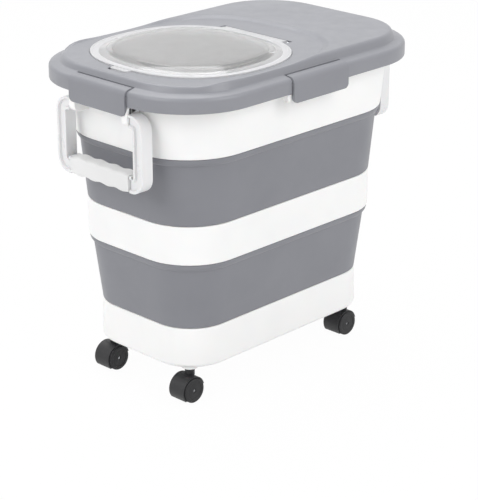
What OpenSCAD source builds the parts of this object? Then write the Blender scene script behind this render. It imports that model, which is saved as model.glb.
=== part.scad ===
// Collapsible rice bin on casters, with a lift-off lid, a clear flip lid, four latches and two bail handles.
// Origin: middle of the floor under the casters. +X runs along the length, +Z is up. Millimetres.

/* [Bin body] */
// Straight run of each long side, between the corner centres
side_long = 220; // [170:5:260]
// Straight run of each short side, between the corner centres
side_short = 81; // [72:1:120]
// Corner radius of the base tub at its floor
base_corner = 54; // [51:0.5:57]
// Corner radius of the middle ring
mid_corner = 67.5; // [63:0.5:71]
// Corner radius of the top ring at its lower edge
top_corner = 80; // [76:0.5:84]
// How much the top ring widens on its way up to the rim
top_flare = 7; // [4:0.5:9]
// How much the base tub narrows on its way up
base_draft = 1.6; // [0:0.1:3]
// Wall of the hard plastic tub and rings
wall = 2.5; // [1.8:0.1:3.2]
// Height of the base tub
base_h = 51; // [42:1:60]
// Height of the middle ring
mid_h = 47.5; // [40:0.5:56]
// Height of the top ring, up to its rim
top_h = 73; // [68:1:90]
// Rounding of the edge under the base tub
base_fillet = 6; // [4:0.5:9]

/* [Folding membranes] */
// Height of the lower membrane
lower_fold_h = 86.5; // [70:0.5:100]
// Height of the upper membrane
upper_fold_h = 85; // [70:0.5:100]
// Wall of the soft membranes
fold_t = 1.8; // [1.2:0.1:2.4]
// How far the soft bead under a ring is drawn in
bead_in = 5.5; // [3:0.5:7]
// Height of the soft bead under a ring
bead_h = 9; // [6:0.5:12]

/* [Rim] */
// Thickness of the rim flange round the top ring
rim_t = 3; // [2:0.25:4]
// Depth of the lip that hangs from the rim flange
rim_lip = 6; // [4:0.5:8]
// Half the width of each latch catch on the long sides of the rim
catch_half = 53; // [50:0.5:56]
// How far each latch catch reaches below the rim
catch_drop = 20; // [17:0.5:24]

/* [Lid] */
// How far the lid stands out past the ring wall
overhang = 17; // [15:0.5:20]
// Corner radius of the lid skirt
lid_corner = 93; // [88:0.5:98]
// Wall of the lid
lid_wall = 2.5; // [2:0.1:3]
// How far the skirt hangs below the rim
skirt_drop = 11; // [9:0.5:13]
// Height of the lid deck above the rim
deck_rise = 16.5; // [15:0.5:20]
// Height of the raised panel above the deck
panel_rise = 3.5; // [2:0.25:5]
// Width of the sealing ring in the lid
seal_w = 4; // [3:0.25:4.5]

/* [Flip lid] */
// Half length of the flip lid
flip_half_x = 108.5; // [100:0.5:110]
// Half width of the flip lid
flip_half_y = 115.5; // [100:0.5:117]
// How far the middle of the flip lid is set towards the left end
flip_shift = 67.5; // [60:0.5:69]
// How square the flip lid is: 2 is an ellipse
flip_square = 2.4; // [2.2:0.1:3]
// Thickness of the flip lid's flange
flip_t = 2.8; // [2.2:0.1:3.2]
// Width of the flange round the clear dome
flip_flange = 17; // [15:0.5:20]
// Height of the clear dome above the flange
dome_rise = 6.7; // [4:0.1:10]
// Half the length of the straight hinge strip
hinge_half = 50.5; // [40:0.5:54]
// Half the width of the finger tab
tab_half = 14; // [9:0.5:18]

/* [Latches] */
// Half the width of each latch
latch_half = 47; // [38:0.5:47]
// How far a latch stands proud of the skirt
latch_proud = 3; // [2.5:0.25:5]
// How far a latch reaches below the rim
latch_drop = 22; // [20:0.5:26]
// Thickness of the latch plate
latch_t = 3; // [2.2:0.1:3.4]
// Radius of the small hinge pins
pin_r = 1.5; // [1.2:0.1:1.8]
// Running gap round a hinge pin
run_gap = 0.06; // [0.03:0.01:0.09]

/* [Handles] */
// Half the width of each handle
handle_half = 72; // [68:1:80]
// Width of each handle arm, seen from the front
arm_w = 15; // [12:0.5:17]
// Depth of each handle arm, away from the bin
arm_d = 16; // [12:0.5:17]
// Reach of the handle below its pivot
handle_drop = 84; // [76:1:96]
// Height of the handle's bottom bar
bar_h = 20; // [16:0.5:22]
// Depth of the groove in the front of an arm
arm_groove = 3; // [1.5:0.25:4]
// Outer corner radius of the handle
handle_round = 18; // [16:0.5:20]
// How far the handle pivot stands out from the ring wall
pivot_out = 12.5; // [12.5:0.25:14]
// How far the handle pivot lies below the rim
pivot_drop = 27; // [26:0.5:29]
// Radius of the handle pivot pins
pivot_r = 4; // [3:0.25:5]
// Thickness of each handle lug
lug_t = 10; // [7:0.5:12]

/* [Casters] */
// Radius of a caster wheel
wheel_r = 15.5; // [13:0.5:17]
// Width of one of the twin wheels
wheel_w = 11.2; // [9:0.2:13]
// Thickness of the web between the twin wheels
web_t = 5.6; // [5:0.2:7]
// Distance from the swivel axis to the wheel axle
trail = 5.6; // [4:0.2:7]
// Height from the floor to the underside of the base tub
caster_h = 45; // [42:0.5:52]
// How far a stem stands outside the corner centre, along the length
stem_out_x = 29.5; // [26:0.5:30]
// How far a stem stands outside the corner centre, along the width
stem_out_y = 26.5; // [24:0.5:28]
// Radius of a caster stem
stem_r = 4; // [3:0.25:4.5]
// Radius of a wheel axle
axle_r = 2; // [1.5:0.25:2.5]

/* [Hidden] */
CORNERS = ["front_left", "front_right", "back_left", "back_right"];
$fn = 64;

// Finishes, as colours
white = "#f3f3f1";
slate = "#8d9099";
soft_grey = "#84878f";
frosted = "#eceeee";
black = "#2a2a2c";
steel = "#b9bcc0";

// Gap between two pieces that move past each other
gap = 0.3;
// Gap between the skirt and the rim inside it
skirt_gap = 1;
// Rounding of a ring's edges
edge = 0.8;
// Anything that has to pass right through a wall
through = 400;

// Levels, from the floor up
z_base = caster_h;
z_base_top = z_base + base_h;
z_mid = z_base_top + lower_fold_h;
z_mid_top = z_mid + mid_h;
z_top = z_mid_top + upper_fold_h;
z_rim = z_top + top_h;
z_skirt = z_rim - skirt_drop;
z_deck = z_rim + deck_rise;
z_panel = z_deck + panel_rise;

// The ring wall at the rim, and the lid's own corner centres, which stand outside the bin's
rim_corner = top_corner + top_flare;
lid_long = side_long + 2 * (rim_corner + overhang - lid_corner);
lid_short = side_short + 2 * (rim_corner + overhang - lid_corner);

// Radii round the lid's corner centres
rim_out = lid_corner - lid_wall - skirt_gap;
rib_t = 1.5;
seal_out = lid_corner - overhang + 1.5;
seal_in = seal_out - seal_w;
deck_out = seal_in - rib_t;
z_groove = z_rim + 8;
shoulder_r = 5;
ledge_in = lid_corner - 12.5;
ledge_z = z_rim + 9;

// Sides of the bin: name, turn about Z, and distance from the middle to the lid's corner centres
SIDES = [["right", 0, lid_long / 2], ["back", 90, lid_short / 2],
         ["left", 180, lid_long / 2], ["front", 270, lid_short / 2]];
SHORT_SIDES = [SIDES[0], SIDES[2]];
LONG_SIDES = [SIDES[1], SIDES[3]];
// Casters: name and which corner each stands in
CASTERS = [[CORNERS[0], -1, -1], [CORNERS[1], 1, -1], [CORNERS[2], -1, 1], [CORNERS[3], 1, 1]];

// ---------- shared shapes ----------

// Points along an arc in the plane of a profile
function arc(cx, cz, r, from, to, steps) =
    [for (i = [0 : steps]) let (t = from + (to - from) * i / steps) [cx + r * cos(t), cz + r * sin(t)]];

// A number's power with its sign kept
function spow(v, p) = sign(v) * pow(abs(v), p);

// Outline of a rounded square whose sides bulge
function squircle(a, b, power, steps = 72) =
    [for (i = [0 : steps - 1]) let (t = 360 * (i + 0.5) / steps)
        [a * spow(cos(t), 2 / power), b * spow(sin(t), 2 / power)]];

// Sweeps a wall profile, given as radius and height, round a rounded rectangle
module sweep(long, short) {
    for (c = [[1, 1, 0], [-1, 1, 90], [-1, -1, 180], [1, -1, 270]])
        translate([c[0] * long / 2, c[1] * short / 2, 0])
            rotate([0, 0, c[2]]) rotate_extrude(angle = 90) children();
    for (turn = [0, 180]) rotate([0, 0, turn]) {
        translate([long / 2, 0, 0]) rotate([90, 0, 0])
            linear_extrude(short, center = true) children();
        rotate([0, 0, 90]) translate([short / 2, 0, 0]) rotate([90, 0, 0])
            linear_extrude(long, center = true) children();
    }
}

// A flat plate on the same plan as a sweep
module slab(long, short, r, z0, z1) {
    translate([0, 0, z0]) linear_extrude(z1 - z0) {
        square([long + 2 * r, short], center = true);
        square([long, short + 2 * r], center = true);
        for (x = [-1, 1], y = [-1, 1]) translate([x * long / 2, y * short / 2]) circle(r);
    }
}

// A plate with the flip lid's outline, drawn in by inset
module flip_plate(inset, z0, z1) {
    translate([-flip_shift, 0, z0]) linear_extrude(z1 - z0)
        polygon(squircle(flip_half_x - inset, flip_half_y - inset, flip_square));
}

// Turns children so that +X is outwards from one side of the bin
module on_side(side) {
    rotate([0, 0, side[1]]) children();
}

// Extrudes a profile of radius and height along a side, between two places
module along_side(from, to) {
    translate([0, to, 0]) rotate([90, 0, 0]) linear_extrude(to - from) children();
}

// A round bar along Y
module bar_y(r, from, to) {
    translate([0, to, 0]) rotate([90, 0, 0]) cylinder(h = to - from, r = r);
}

// ---------- tub and rings ----------

boss_r = stem_r + 6;
boss_up = 16;
boss_down = 3.6;
z_boss = z_base - boss_down;
stem_bite = 14;

module at_stem(c) {
    translate([c[1] * (side_long / 2 + stem_out_x), c[2] * (side_short / 2 + stem_out_y), 0]) children();
}

module base_profile() {
    f = base_fillet;
    polygon(concat(
        [[base_corner - f, z_base]],
        arc(base_corner - f, z_base + f, f, -60, 0, 2),
        [[base_corner - base_draft, z_base_top - edge], [base_corner - base_draft - edge, z_base_top],
         [base_corner - base_draft - wall, z_base_top]],
        arc(base_corner - f, z_base + f, f - wall, 0, -60, 2),
        [[base_corner - f, z_base + wall]]));
}

module base_tub() {
    color(white) difference() {
        union() {
            sweep(side_long, side_short) base_profile();
            slab(side_long, side_short, base_corner - base_fillet, z_base, z_base + wall);
            for (c = CASTERS) at_stem(c) translate([0, 0, z_boss]) cylinder(h = boss_down + boss_up, r = boss_r);
        }
        for (c = CASTERS) at_stem(c) translate([0, 0, z_boss - 1]) cylinder(h = boss_down + stem_bite + 1, r = stem_r);
    }
}

module mid_ring() {
    color(white) sweep(side_long, side_short) polygon([
        [mid_corner - wall, z_mid], [mid_corner - edge, z_mid], [mid_corner, z_mid + edge],
        [mid_corner, z_mid_top - edge], [mid_corner - edge, z_mid_top], [mid_corner - wall, z_mid_top]]);
}

// The soft wall between two rings: it leaves the lower ring flush and ends in a drawn-in bead under the upper one
module fold_profile(r_low, z_low, r_high, z_high) {
    zl = z_low + gap;
    zh = z_high - gap;
    neck = r_high - bead_in;
    polygon([
        [r_low - fold_t, zl], [r_low, zl], [neck, z_high - bead_h],
        [r_high - bead_in / 4, z_high - bead_h / 3], [r_high - edge, zh],
        [neck - fold_t, zh], [neck - fold_t, z_high - bead_h]]);
}

module lower_membrane() {
    color(soft_grey) sweep(side_long, side_short)
        fold_profile(base_corner - base_draft, z_base_top, mid_corner, z_mid);
}

module upper_membrane() {
    color(soft_grey) sweep(side_long, side_short) fold_profile(mid_corner, z_mid_top, top_corner, z_top);
}

// Where the wall stands at a height in the top ring
function top_r_at(z) = top_corner + top_flare * (z - z_top) / top_h;

module top_wall_profile() {
    polygon([
        [top_corner - wall, z_top], [top_corner - edge, z_top], [top_corner, z_top + edge],
        [rim_corner, z_rim], [rim_corner - wall, z_rim]]);
}

catch_face = lid_corner - 1.5;
catch_in = rim_out - wall;
z_catch = z_rim - catch_drop;
z_catch_shelf = z_skirt - gap * 2;
wall_to_lid = overhang + rim_corner - lid_corner;

// The rim's stiff catch behind each latch: a ribbed plate that hangs from the lip and steps out under the skirt
module latch_catch(side, half) {
    on_side(side) translate([side[2], 0, 0]) {
        along_side(-half, half) polygon([
            [catch_in, z_rim - rim_t], [catch_in, z_catch], [catch_face, z_catch],
            [catch_face, z_catch_shelf], [rim_out, z_catch_shelf], [rim_out, z_rim - rim_t]]);
        for (y = [-half, -half / 3 - wall / 2, half / 3 - wall / 2, half - wall])
            along_side(y, y + wall) polygon([
                [lid_corner - overhang - 1, z_rim - rim_t], [lid_corner - overhang - 3, z_catch + 6],
                [catch_in + 0.5, z_catch], [catch_in + 0.5, z_rim - rim_t]]);
    }
}

lug_out = latch_half + 2.5;
z_pivot = z_rim - pivot_drop;
pivot_x = side_long / 2 + top_r_at(z_pivot) + pivot_out;
lug_round = pivot_r + 4.5;

// A pair of ears on the ring's short side, bored for the handle's pivot pins
module handle_lugs(side) {
    on_side(side) for (s = [-1, 1]) {
        low = (s > 0) ? lug_out - lug_t : -lug_out;
        difference() {
            union() {
                translate([pivot_x, 0, z_pivot]) bar_y(lug_round, low, low + lug_t);
                along_side(low, low + lug_t) polygon([
                    [side_long / 2 + top_r_at(z_pivot - lug_round) - 1, z_pivot - lug_round],
                    [pivot_x, z_pivot - lug_round], [side[2] + catch_face, z_pivot],
                    [side[2] + catch_face, z_catch_shelf], [side[2] + rim_out - 1, z_catch_shelf],
                    [side[2] + rim_out - 1, z_rim - rim_t], [side_long / 2 + rim_corner - 1, z_rim - rim_t]]);
            }
            translate([pivot_x, 0, z_pivot]) bar_y(pivot_r + run_gap, -through, through);
            // The latch plate closes past the ear's nose
            translate([side[2] + latch_face - latch_t - gap * 2, -through, z_rim - latch_drop - gap * 2])
                cube(2 * through);
        }
    }
}

module top_ring() {
    color(white) {
        difference() {
            union() {
                slab(lid_long, lid_short, rim_out, z_rim - rim_t, z_rim);
                sweep(lid_long, lid_short) polygon([
                    [rim_out - wall, z_rim - rim_t - rim_lip], [rim_out - edge, z_rim - rim_t - rim_lip],
                    [rim_out, z_rim - rim_t - rim_lip + edge], [rim_out, z_rim - rim_t], [rim_out - wall, z_rim - rim_t]]);
            }
            slab(side_long, side_short, rim_corner - wall, z_rim - rim_t - 1, z_rim + 1);
        }
        sweep(side_long, side_short) top_wall_profile();
        for (side = LONG_SIDES) latch_catch(side, catch_half);
        for (side = SHORT_SIDES) {
            latch_catch(side, lug_out);
            handle_lugs(side);
        }
    }
}

// ---------- lid ----------

hinge_r = 3;
z_flange = z_deck - 2;
z_flange_top = z_flange + flip_t;
z_hinge = z_flange_top - hinge_r;
hinge_x = flip_half_x - flip_shift + 3;
seal_gap = 0.4;
seat_w = 14;
well_wall = 2.5;
z_well = z_flange - 3.5;
// The dished surround reaches this far past the flip lid, and its edge slopes over this width
dish_x = 58;
dish_y = 16;
dish_square = 3;
dish_slope = 8;
strip_w = 12;
trough_end = hinge_half + 6.5;
trough_depth = hinge_r + 1.2;
tab_reach = 7.5;
tab_x = flip_shift + flip_half_x + tab_reach;
pocket_gap = 3.5;
pocket_long = tab_reach + pocket_gap + 9;

latch_face = lid_corner + latch_proud;
latch_axis_r = lid_corner - 7;
latch_barrel = pin_r + 1.7;
z_latch_axis = z_rim + latch_barrel + 0.6;
notch_in = latch_axis_r - latch_barrel - 3.2;
notch_half = latch_half + 0.6;
ear_t = 4;

module lid_profile() {
    z_sh = z_rim + 2.5;
    polygon(concat(
        [[lid_corner - lid_wall, z_skirt], [lid_corner - edge, z_skirt], [lid_corner, z_skirt + edge]],
        arc(lid_corner - shoulder_r, z_sh, shoulder_r, 0, 75, 3),
        [[ledge_in, ledge_z]],
        arc(deck_out, z_deck - 6, 6, 30, 90, 3),
        [[deck_out, z_deck - lid_wall], [deck_out, z_rim + 2.5], [seal_in, z_rim + 2.5],
         [seal_in, z_groove], [seal_out, z_groove], [seal_out, z_rim + 2.5],
         [seal_out + rib_t, z_rim + 2.5], [seal_out + rib_t, z_groove - 1.5],
         [lid_corner - lid_wall - 3, z_rim + 4.5], [lid_corner - lid_wall, z_rim + 1.5]]));
}

// Outline of the dished surround of the flip lid, at one level of the raised panel's soft edge
module dish(out, z) {
    translate([-flip_shift, 0, z]) linear_extrude(0.1)
        polygon(squircle(flip_half_x + dish_x + out, flip_half_y + dish_y + out, dish_square));
}

// The raised panel beyond the flip lid; the dished surround is cut out of it with a sloping edge
module raised_panel() {
    difference() {
        for (step = [[0.8, 0, panel_rise / 2], [2.3, panel_rise / 2, panel_rise]])
            slab(lid_long, lid_short, deck_out - step[0], z_deck + step[1] - 0.1, z_deck + step[2]);
        hull() {
            dish(-dish_slope / 2, z_deck - 0.1);
            dish(dish_slope / 2, z_panel);
        }
    }
}

// Ears at both ends of a latch's notch, which hold its pin
module latch_ears(side) {
    on_side(side) translate([side[2], 0, 0]) for (y = [-notch_half - ear_t, notch_half])
        along_side(y, y + ear_t) polygon([
            [notch_in - 0.5, z_rim + gap * 2], [latch_axis_r + latch_barrel, z_rim + gap * 2],
            [latch_axis_r + latch_barrel + 0.5, z_rim + 6], [notch_in - 0.5, z_rim + 8]]);
}

module lid() {
    color(slate) difference() {
        union() {
            sweep(lid_long, lid_short) lid_profile();
            slab(lid_long, lid_short, deck_out, z_deck - lid_wall, z_deck);
            raised_panel();
            flip_plate(-well_wall - gap * 2, z_well, z_deck);
            translate([hinge_x - hinge_r - 5, -trough_end - 6, z_hinge - trough_depth - well_wall])
                cube([2 * hinge_r + 9, 2 * trough_end + 12, z_deck - z_hinge + trough_depth + well_wall]);
            translate([-tab_x - pocket_gap - well_wall, -tab_half - 4, z_well])
                cube([pocket_long, 2 * tab_half + 8, z_deck - z_well]);
            for (side = SIDES) latch_ears(side);
        }
        flip_plate(-gap * 2, z_flange - gap, z_panel + 1);
        flip_plate(seat_w, z_well - through, z_panel + 1);
        translate([hinge_x - hinge_r - 2.5, -trough_end, z_hinge - trough_depth])
            cube([2 * hinge_r + 3.7, 2 * trough_end, through]);
        translate([hinge_x - strip_w - gap * 2, -hinge_half - gap * 2, z_flange - gap])
            cube([strip_w, 2 * (hinge_half + gap * 2), through]);
        translate([-tab_x - pocket_gap, -tab_half - 1, z_flange - 1.2])
            cube([pocket_long, 2 * tab_half + 2, through]);
        translate([hinge_x, 0, z_hinge]) bar_y(pin_r, -trough_end - 4, trough_end + 4);
        for (side = SIDES) on_side(side) translate([side[2], 0, 0]) {
            translate([notch_in, -notch_half, z_skirt - 1]) cube([through, 2 * notch_half, through]);
            translate([latch_axis_r, 0, z_latch_axis]) bar_y(pin_r, -notch_half - 3, notch_half + 3);
        }
    }
}

module lid_seal() {
    color(frosted) sweep(lid_long, lid_short) polygon([
        [seal_in + 0.2, z_rim + gap], [seal_out - 0.2, z_rim + gap],
        [seal_out - 0.2, z_groove], [seal_in + 0.2, z_groove]]);
}

// ---------- flip lid ----------

// The clear dome, from its foot on the flange up to its crown, drawn in by skin
module dome(skin) {
    hull() {
        flip_plate(flip_flange + skin, z_flange - skin, z_flange_top);
        flip_plate(flip_flange + 4.5 + skin, z_flange_top + dome_rise * 0.6 - skin, z_flange_top + dome_rise * 0.6 - skin + 0.1);
        flip_plate(flip_flange + 13 + skin, z_flange_top + dome_rise * 0.92 - skin, z_flange_top + dome_rise * 0.92 - skin + 0.1);
        flip_plate(flip_flange + 34 + skin, z_flange_top + dome_rise - skin - 0.1, z_flange_top + dome_rise - skin);
    }
}

module flip_lid() {
    color("#e8ecec", 0.5) difference() {
        union() {
            flip_plate(0, z_flange, z_flange_top);
            dome(0);
            translate([hinge_x - strip_w, -hinge_half, z_flange]) cube([strip_w, 2 * hinge_half, flip_t]);
            translate([hinge_x, 0, z_hinge]) bar_y(hinge_r, -hinge_half, hinge_half);
            translate([-tab_x, -tab_half, z_flange]) cube([tab_reach + 6, 2 * tab_half, flip_t]);
        }
        dome(2);
        translate([hinge_x, 0, z_hinge]) bar_y(pin_r + run_gap, -through, through);
    }
}

module flip_seal() {
    color(frosted) difference() {
        flip_plate(seat_w + seal_gap, z_well - 1, z_flange);
        flip_plate(flip_flange + 1.5, z_well - 2, z_flange + 1);
    }
}

module flip_hinge_pin() {
    color(steel) translate([hinge_x, 0, z_hinge]) bar_y(pin_r, -trough_end - 4, trough_end + 4);
}

// ---------- latches ----------

module latch(side) {
    z_low = z_rim - latch_drop;
    z_cap = ledge_z + 0.5;
    corner = 6;
    color(slate) on_side(side) translate([side[2], 0, 0]) difference() {
        union() {
            intersection() {
                along_side(-latch_half, latch_half) polygon(concat(
                    [[latch_face - latch_t, z_low], [latch_face - edge, z_low], [latch_face, z_low + edge]],
                    arc(latch_face - 8, z_cap - 8.5, 8, 0, 80, 4),
                    [[latch_axis_r - 2.5, z_cap], [latch_axis_r - 2.5, z_cap - 2.5],
                     [latch_face - latch_t - 3, z_cap - 5], [latch_face - latch_t, z_cap - 8.5]]));
                // The two lower corners are round
                union() {
                    translate([0, -latch_half, z_low + corner]) cube([through, 2 * latch_half, through]);
                    translate([0, -latch_half + corner, z_low - 1]) cube([through, 2 * (latch_half - corner), through]);
                    for (y = [-1, 1]) translate([0, y * (latch_half - corner), z_low + corner])
                        rotate([0, 90, 0]) cylinder(h = through, r = corner);
                }
            }
            translate([latch_axis_r, 0, z_latch_axis]) bar_y(latch_barrel, -latch_half, latch_half);
            along_side(-latch_half, latch_half) polygon([
                [latch_axis_r - 1.5, z_latch_axis], [latch_axis_r + 2, z_latch_axis],
                [latch_axis_r + 2, z_cap - 1.5], [latch_axis_r - 1.5, z_cap - 1.5]]);
            // The bead that rides on the catch
            along_side(-latch_half + 8, latch_half - 8) polygon([
                [latch_face - latch_t + 0.5, z_low + 1], [catch_face + gap, z_low + 2.5],
                [catch_face + gap, z_low + 4.5], [latch_face - latch_t + 0.5, z_low + 6]]);
        }
        translate([latch_axis_r, 0, z_latch_axis]) bar_y(pin_r + run_gap, -through, through);
    }
}

module latch_pin(side) {
    color(steel) on_side(side) translate([side[2] + latch_axis_r, 0, z_latch_axis])
        bar_y(pin_r, -notch_half - 3, notch_half + 3);
}

// ---------- handles ----------

z_handle = z_pivot - handle_drop;
arm_in = handle_half - arm_w;
stub_in = lug_out + 0.5;
stub_h = arm_d / 2;

// A rounded rectangle seen from the front, from z0 up to z1
module rounded_rect(half, z0, z1, r) {
    translate([-half, z0 + r]) square([2 * half, z1 - z0 - 2 * r]);
    translate([-half + r, z0]) square([2 * (half - r), z1 - z0]);
    for (y = [-half + r, half - r], z = [z0 + r, z1 - r]) translate([y, z]) circle(r);
}

// Extrudes a front outline (along Y and Z) outwards between two distances
module front_plate(x0, x1) {
    translate([x0, 0, 0]) rotate([90, 0, 90]) linear_extrude(x1 - x0) children();
}

module handle(side) {
    x0 = pivot_x - arm_d / 2;
    x1 = pivot_x + arm_d / 2;
    groove_edge = 2.6;
    color(white) on_side(side) {
        difference() {
            front_plate(x0, x1) difference() {
                rounded_rect(handle_half, z_handle, z_pivot + stub_h, handle_round);
                rounded_rect(arm_in, z_handle + bar_h, z_pivot - stub_h, handle_round - arm_w + 8);
                translate([-stub_in, z_pivot - through]) square([2 * stub_in, 2 * through]);
            }
            // The groove down the front of each arm
            for (s = [-1, 1]) front_plate(x1 - arm_groove, x1 + 1)
                translate([s * (arm_in + arm_w / 2), 0]) translate([-arm_w / 2 + groove_edge, z_handle + handle_round])
                    square([arm_w - 2 * groove_edge, z_pivot - z_handle - handle_round - stub_h]);
        }
        // The bottom bar, slimmer than the arms so that the grip can wrap it
        front_plate(x0 + 3, x1 - 3) translate([-arm_in - 4, z_handle + 3]) square([2 * arm_in + 8, bar_h - 6]);
        for (s = [-1, 1]) translate([pivot_x, 0, z_pivot])
            bar_y(pivot_r, s > 0 ? stub_in - lug_t + 1 : -stub_in - 1, s > 0 ? stub_in + 1 : -stub_in + lug_t - 1);
    }
}

// The grip wraps the bar, with four shallow waves for the fingers
module grip(side) {
    grip_half = stub_in - 1;
    waves = 4;
    x0 = pivot_x - arm_d / 2 - 1;
    x1 = pivot_x + arm_d / 2 + 1;
    steps = 48;
    color(frosted) on_side(side) difference() {
        front_plate(x0, x1) polygon(concat(
            [for (i = [0 : steps]) let (t = i / steps)
                [-grip_half + 2 * grip_half * t, z_handle - 0.5 + 1.2 * cos(360 * waves * t)]],
            [for (i = [0 : steps]) let (t = 1 - i / steps)
                [-grip_half + 2 * grip_half * t, z_handle + bar_h + 1.5 - 1.2 * cos(360 * waves * t)]]));
        front_plate(pivot_x - arm_d / 2 + 3, pivot_x + arm_d / 2 - 3)
            translate([-through, z_handle + 3]) square([2 * through, bar_h - 6]);
    }
}

// ---------- casters ----------

z_neck = z_boss - 1.6;
hood_gap = 0.4;
side_gap = 0.35;
fender_r = wheel_r + hood_gap;
fender_t = 1.6;
fender_half = web_t / 2 + wheel_w * 0.85;
// The hood comes down to these levels behind and in front of the wheels
z_hood_back = 4.5;
z_hood_front = wheel_r + 4;
z_fender = wheel_r + fender_r;
stem_end = z_fender + 1;

module caster_stem(c) {
    color(steel) at_stem(c) {
        translate([0, 0, stem_end]) cylinder(h = z_base + stem_bite - stem_end, r = stem_r);
        translate([0, 0, z_neck + gap]) cylinder(h = z_boss - z_neck - gap, r = stem_r + 2.4);
    }
}

module caster_hood(c) {
    color(black) at_stem(c) difference() {
        union() {
            translate([-trail, 0, wheel_r]) bar_y(wheel_r - 1, -web_t / 2, web_t / 2);
            // A fender over most of both wheels, low at the back
            difference() {
                translate([-trail, 0, wheel_r]) bar_y(fender_r + fender_t, -fender_half, fender_half);
                translate([-trail, 0, wheel_r]) bar_y(fender_r, -through, through);
                translate([-through, -through, -through]) cube([2 * through, 2 * through, through + z_hood_back]);
                translate([-trail, -through, -through]) cube([through, 2 * through, through + z_hood_front]);
            }
            translate([-trail - 3, -web_t / 2, wheel_r]) cube([trail + 7, web_t, fender_r + 0.5]);
            translate([-trail - 8, -web_t / 2, wheel_r]) cube([9, web_t, fender_r - 1.4]);
            translate([0, 0, z_fender + 0.1]) cylinder(h = z_neck - z_fender - 0.1, r = stem_r + 2);
        }
        translate([0, 0, stem_end - gap]) cylinder(h = through, r = stem_r + run_gap);
        translate([-trail, 0, wheel_r]) bar_y(axle_r, -through, through);
    }
}

module caster_axle(c) {
    color(steel) at_stem(c) translate([-trail, 0, wheel_r])
        bar_y(axle_r, -web_t / 2 - wheel_w + 1, web_t / 2 + wheel_w - 1);
}

// One wheel of the pair; s says on which side of the web it runs
module wheel(c, s) {
    round = 1.6;
    bore = axle_r + run_gap;
    inner = web_t / 2 + side_gap;
    color(black) at_stem(c) translate([-trail, 0, wheel_r]) rotate([s > 0 ? -90 : 90, 0, 0])
        translate([0, 0, inner]) rotate_extrude() polygon(concat(
            [[bore, 0], [wheel_r - 0.6, 0], [wheel_r, 0.6]],
            arc(wheel_r - round, wheel_w - round, round, 0, 90, 3),
            [[wheel_r - 4, wheel_w], [wheel_r - 5, wheel_w - 0.7], [axle_r + 3, wheel_w - 0.2], [bore, wheel_w - 0.2]]));
}

// ---------- the whole, piece by piece ----------

base_tub();
lower_membrane();
mid_ring();
upper_membrane();
top_ring();
lid();
lid_seal();
flip_lid();
flip_seal();
flip_hinge_pin();
for (side = SIDES) {
    latch(side);
    latch_pin(side);
}
for (side = SHORT_SIDES) {
    handle(side);
    grip(side);
}
for (c = CASTERS) {
    caster_stem(c);
    caster_hood(c);
    caster_axle(c);
    wheel(c, -1);
    wheel(c, 1);
}
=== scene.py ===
# %% [markdown]
# # A folding rice bin, piece by piece
#
# The real bin is a white tub and two white rings, joined by soft grey walls that fold inside out. A grey
# lid with a clear flip lid closes it, four latches hold the lid, two bail handles lift it and four casters
# carry it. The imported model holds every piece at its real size. This lesson loads it, gives every surface
# its finish, and models the visible shells again as smooth meshes that sit exactly where the solids are.

# %% Load the frame
import math

import bmesh
import bpy
from bmesh.types import BMEdge, BMVert
from mathutils import Matrix, Vector


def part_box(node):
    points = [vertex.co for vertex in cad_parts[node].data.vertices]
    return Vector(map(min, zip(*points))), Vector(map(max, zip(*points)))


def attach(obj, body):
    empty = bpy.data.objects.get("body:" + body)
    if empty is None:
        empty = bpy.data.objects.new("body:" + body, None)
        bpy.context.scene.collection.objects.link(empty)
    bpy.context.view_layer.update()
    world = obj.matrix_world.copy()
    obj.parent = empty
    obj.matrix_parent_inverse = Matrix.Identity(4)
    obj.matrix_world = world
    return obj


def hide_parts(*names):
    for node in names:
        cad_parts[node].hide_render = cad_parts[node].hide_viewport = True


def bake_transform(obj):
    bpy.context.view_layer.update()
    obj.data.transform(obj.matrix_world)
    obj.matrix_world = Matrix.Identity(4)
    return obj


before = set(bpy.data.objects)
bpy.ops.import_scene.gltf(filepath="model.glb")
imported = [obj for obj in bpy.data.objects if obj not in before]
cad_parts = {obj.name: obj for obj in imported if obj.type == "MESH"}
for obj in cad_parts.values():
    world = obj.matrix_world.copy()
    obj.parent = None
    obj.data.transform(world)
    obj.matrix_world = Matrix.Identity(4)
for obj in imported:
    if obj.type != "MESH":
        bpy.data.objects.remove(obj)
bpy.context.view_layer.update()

# %% [markdown]
# ## Camera
#
# A long lens from the left front corner and a little above keeps the upright edges nearly parallel, as in a
# product photograph. The place and the direction were solved from the edges of the three white rings. The
# sensor's 36 mm lie along the picture's long side.

# %% Camera
MM = 0.001
CAMERA_PLACE = Vector((-1480.91, -1451.39, 946.62)) * MM
CAMERA_LOOK = Vector((0.66807, 0.64849, -0.36489))
CAMERA_LENS = 127.41
SENSOR = 36


def add_object(name, data):
    """Puts a camera, a lamp or a mesh into the scene as an object."""
    obj = bpy.data.objects.new(name, data)
    bpy.context.scene.collection.objects.link(obj)
    return obj


def look_along(obj, direction):
    """Turns a camera or a lamp, which look along their own -Z, to look along a direction."""
    obj.rotation_mode = "QUATERNION"
    obj.rotation_quaternion = direction.to_track_quat("-Z", "Y")


camera = add_object("camera", bpy.data.cameras.new("camera"))
camera.location = CAMERA_PLACE
look_along(camera, CAMERA_LOOK)
camera.data.lens = CAMERA_LENS
camera.data.sensor_width = SENSOR
bpy.context.scene.camera = camera
bpy.context.scene.view_settings.view_transform = "Standard"

# %% [markdown]
# ## Finishes
#
# A material is a small tree of nodes. One function empties a tree, another adds a node, sets its sockets
# and links it, and a third turns the sRGB colours that people write into the linear ones that light is
# computed with.

# %% Helpers for materials


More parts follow.
